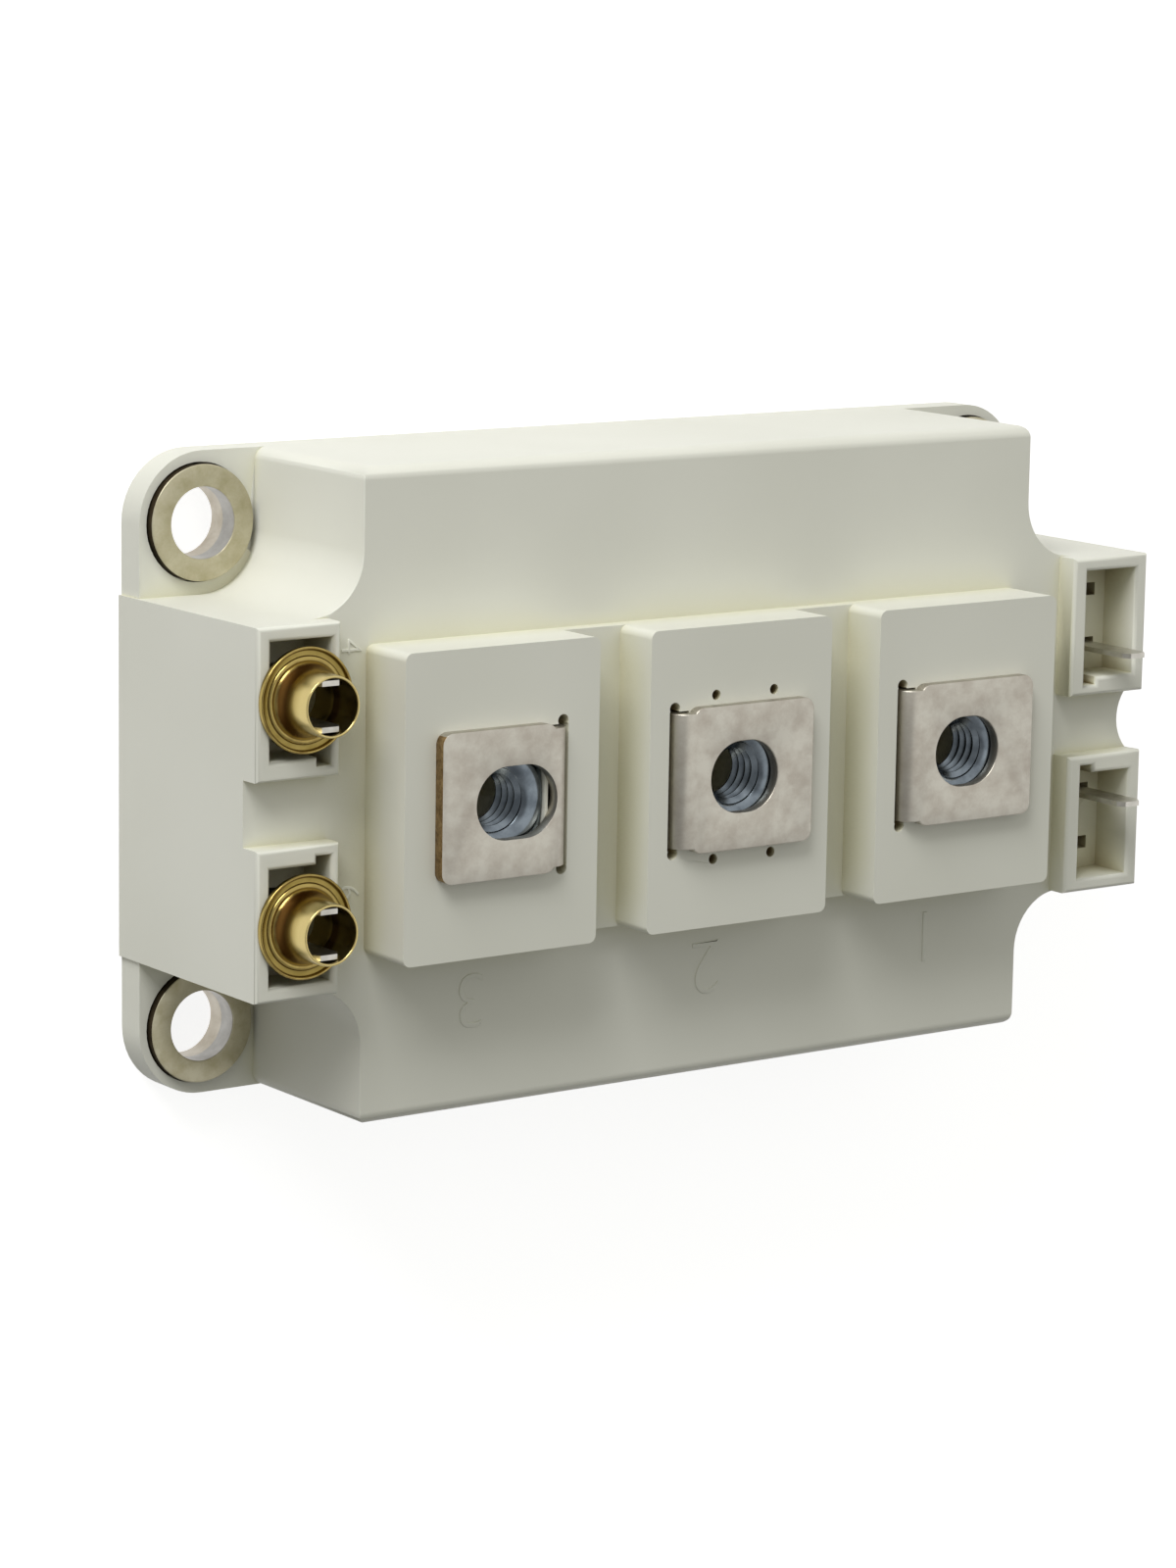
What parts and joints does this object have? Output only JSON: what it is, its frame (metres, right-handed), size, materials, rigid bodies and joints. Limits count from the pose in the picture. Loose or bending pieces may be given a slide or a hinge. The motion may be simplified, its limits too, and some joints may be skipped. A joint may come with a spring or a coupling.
{
  "type": "igbt module",
  "caption": "Half-bridge power transistor module: ivory moulded housing on a metal baseplate with corner screw holes, a row of screw terminals and control sockets at both ends.",
  "frame": {"origin": "centre of the baseplate's underside", "axes": "+Z towards the screw terminals, X along the length with the control end (two shorting eyelets) at +X, -Y towards the long side that faces up in the picture"},
  "size_m": [0.1064, 0.0614, 0.03],
  "materials": {
    "ivory_moulding": "satin moulded thermoplastic",
    "plated_baseplate": "satin nickel plate on copper",
    "plated_ring": "satin nickel plate",
    "plated_strip": "satin nickel plate on copper",
    "zinc_nut": "bright zinc plate",
    "tinned_tab": "satin tin plate",
    "brass_eyelet": "polished brass",
    "alumina": "matte fired ceramic",
    "clad_copper": "satin copper",
    "silicon": "polished silicon with aluminium metallising",
    "aluminium_wire": "bright drawn wire"
  },
  "bodies": {
    "root": {"housing": "ivory_moulding", "baseplate": "plated_baseplate", "mount_ring_1": "plated_ring", "mount_ring_2": "plated_ring", "mount_ring_3": "plated_ring", "mount_ring_4": "plated_ring", "terminal_strip_1": "plated_strip", "terminal_strip_2": "plated_strip", "terminal_strip_3": "plated_strip", "terminal_nut_1": "zinc_nut", "terminal_nut_2": "zinc_nut", "terminal_nut_3": "zinc_nut", "control_tab_1": "tinned_tab", "control_tab_2": "tinned_tab", "control_tab_3": "tinned_tab", "control_tab_4": "tinned_tab", "control_tab_5": "tinned_tab", "control_tab_6": "tinned_tab", "shorting_eyelet_1": "brass_eyelet", "shorting_eyelet_2": "brass_eyelet", "ceramic_1": "alumina", "ceramic_2": "alumina", "backing_copper_1": "clad_copper", "backing_copper_2": "clad_copper", "track_copper_1": "clad_copper", "track_copper_2": "clad_copper", "igbt_chip_1": "silicon", "igbt_chip_2": "silicon", "igbt_chip_3": "silicon", "igbt_chip_4": "silicon", "diode_chip_1": "silicon", "diode_chip_2": "silicon", "diode_chip_3": "silicon", "diode_chip_4": "silicon", "bond_wires_1": "aluminium_wire", "bond_wires_2": "aluminium_wire"}
  },
  "joints": []
}
